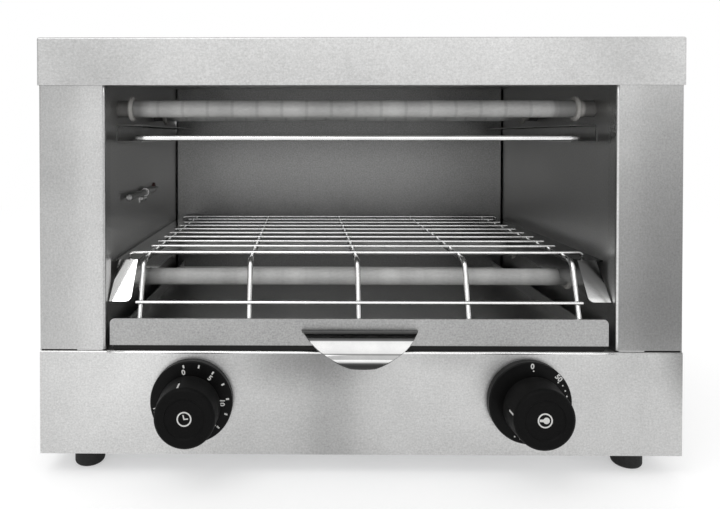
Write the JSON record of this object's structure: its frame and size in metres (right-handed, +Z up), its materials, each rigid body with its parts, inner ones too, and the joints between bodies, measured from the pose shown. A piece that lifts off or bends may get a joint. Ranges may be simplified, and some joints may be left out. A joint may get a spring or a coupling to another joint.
{
  "type": "cheese melter",
  "caption": "Open fronted countertop melter in stainless sheet, quartz heater tubes above and below a wire rack, crumb tray with lip handle, timer and thermostat knobs.",
  "frame": {"origin": "on the surface it stands on, under the middle of the whole object from the knob faces to the end of the gland", "axes": "+X to the right of someone who faces the front, +Y from the front to the back, +Z up"},
  "size_m": [0.45, 0.3316, 0.3066],
  "materials": {
    "stainless_outer": "brushed stainless sheet, satin",
    "galvanised_sheet": "plain galvanised sheet, matt",
    "stainless_liner": "bright annealed stainless sheet, hazy mirror",
    "polished_steel": "polished stainless",
    "bright_wire": "bright plated wire",
    "zinc_steel": "zinc plated",
    "copper": "dull copper",
    "milky_quartz": "milky quartz glass, satin",
    "resistance_wire": "oxidised resistance wire",
    "ceramic": "unglazed steatite",
    "black_rubber": "matt rubber",
    "red_silicone": "silicone rubber",
    "black_plastic": "satin phenolic",
    "grey_plastic": "moulded case, matt",
    "black_nylon": "moulded nylon",
    "black_dial": "black, printed in white",
    "braided_sleeve": "glass braid sleeve"
  },
  "bodies": {
    "casing": {"back_panel": "stainless_outer", "base_pan": "galvanised_sheet", "bulb_clip": "stainless_liner", "bulb_clip_screws": "zinc_steel", "cable_gland": "black_nylon", "capillary_grommet": "red_silicone", "casing_screws": "zinc_steel", "cavity_back": "stainless_liner", "cavity_wall_left": "stainless_liner", "cavity_wall_right": "stainless_liner", "control_panel": "stainless_outer", "control_wiring": "braided_sleeve", "foot_front_left": "black_rubber", "foot_front_right": "black_rubber", "foot_rear_left": "black_rubber", "foot_rear_right": "black_rubber", "foot_screws": "zinc_steel", "gland_nut": "black_nylon", "guard_rail_left": "stainless_liner", "guard_rail_right": "stainless_liner", "heating_coil_lower_front": "resistance_wire", "heating_coil_lower_rear": "resistance_wire", "heating_coil_upper_front": "resistance_wire", "heating_coil_upper_rear": "resistance_wire", "mid_shelf": "galvanised_sheet", "quartz_tube_lower_front": "milky_quartz", "quartz_tube_lower_rear": "milky_quartz", "quartz_tube_upper_front": "milky_quartz", "quartz_tube_upper_rear": "milky_quartz", "rack_ledge_left": "stainless_liner", "rack_ledge_right": "stainless_liner", "shaft_nuts": "zinc_steel", "side_panel_left": "stainless_outer", "side_panel_right": "stainless_outer", "terminal_block": "ceramic", "thermostat_body": "grey_plastic", "thermostat_bulb": "copper", "thermostat_capillary": "copper", "thermostat_dial": "black_dial", "timer_body": "grey_plastic", "timer_dial": "black_dial", "top_cover": "stainless_outer", "tube_caps_lower_front": "ceramic", "tube_caps_lower_rear": "ceramic", "tube_caps_upper_front": "ceramic", "tube_caps_upper_rear": "ceramic", "tube_terminals": "zinc_steel", "tube_wiring_left": "braided_sleeve", "tube_wiring_right": "braided_sleeve", "upper_reflector": "stainless_liner"},
    "timer_knob_and_shaft": {"timer_knob": "black_plastic", "timer_shaft": "zinc_steel"},
    "thermostat_knob_and_shaft": {"thermostat_knob": "black_plastic", "thermostat_shaft": "zinc_steel"},
    "tray": {"crumb_tray": "stainless_liner", "tray_front": "stainless_outer", "tray_handle": "polished_steel", "handle_rivets": "polished_steel"},
    "rack": {"wire_rack": "bright_wire"},
    "guard": {"upper_guard": "bright_wire"}
  },
  "joints": [
    {"name": "timer_turn", "type": "hinge", "parent": "casing", "child": "timer_knob_and_shaft", "pos_m": [-0.1168, -0.1532, 0.054], "axis": [0, 1, 0], "range_deg": [-91, 161]},
    {"name": "thermostat_turn", "type": "hinge", "parent": "casing", "child": "thermostat_knob_and_shaft", "pos_m": [0.1168, -0.1532, 0.054], "axis": [0, 1, 0], "range_deg": [-273, 7]},
    {"name": "tray_slide", "type": "slide", "parent": "casing", "child": "tray", "axis": [0, -1, 0], "range_m": [0, 0.2]},
    {"name": "rack_lift", "type": "slide", "parent": "casing", "child": "rack", "axis": [0, 0, 1], "range_m": [0, 0.06]},
    {"name": "guard_slide", "type": "slide", "parent": "casing", "child": "guard", "axis": [0, -1, 0], "range_m": [0, 0.2]}
  ]
}
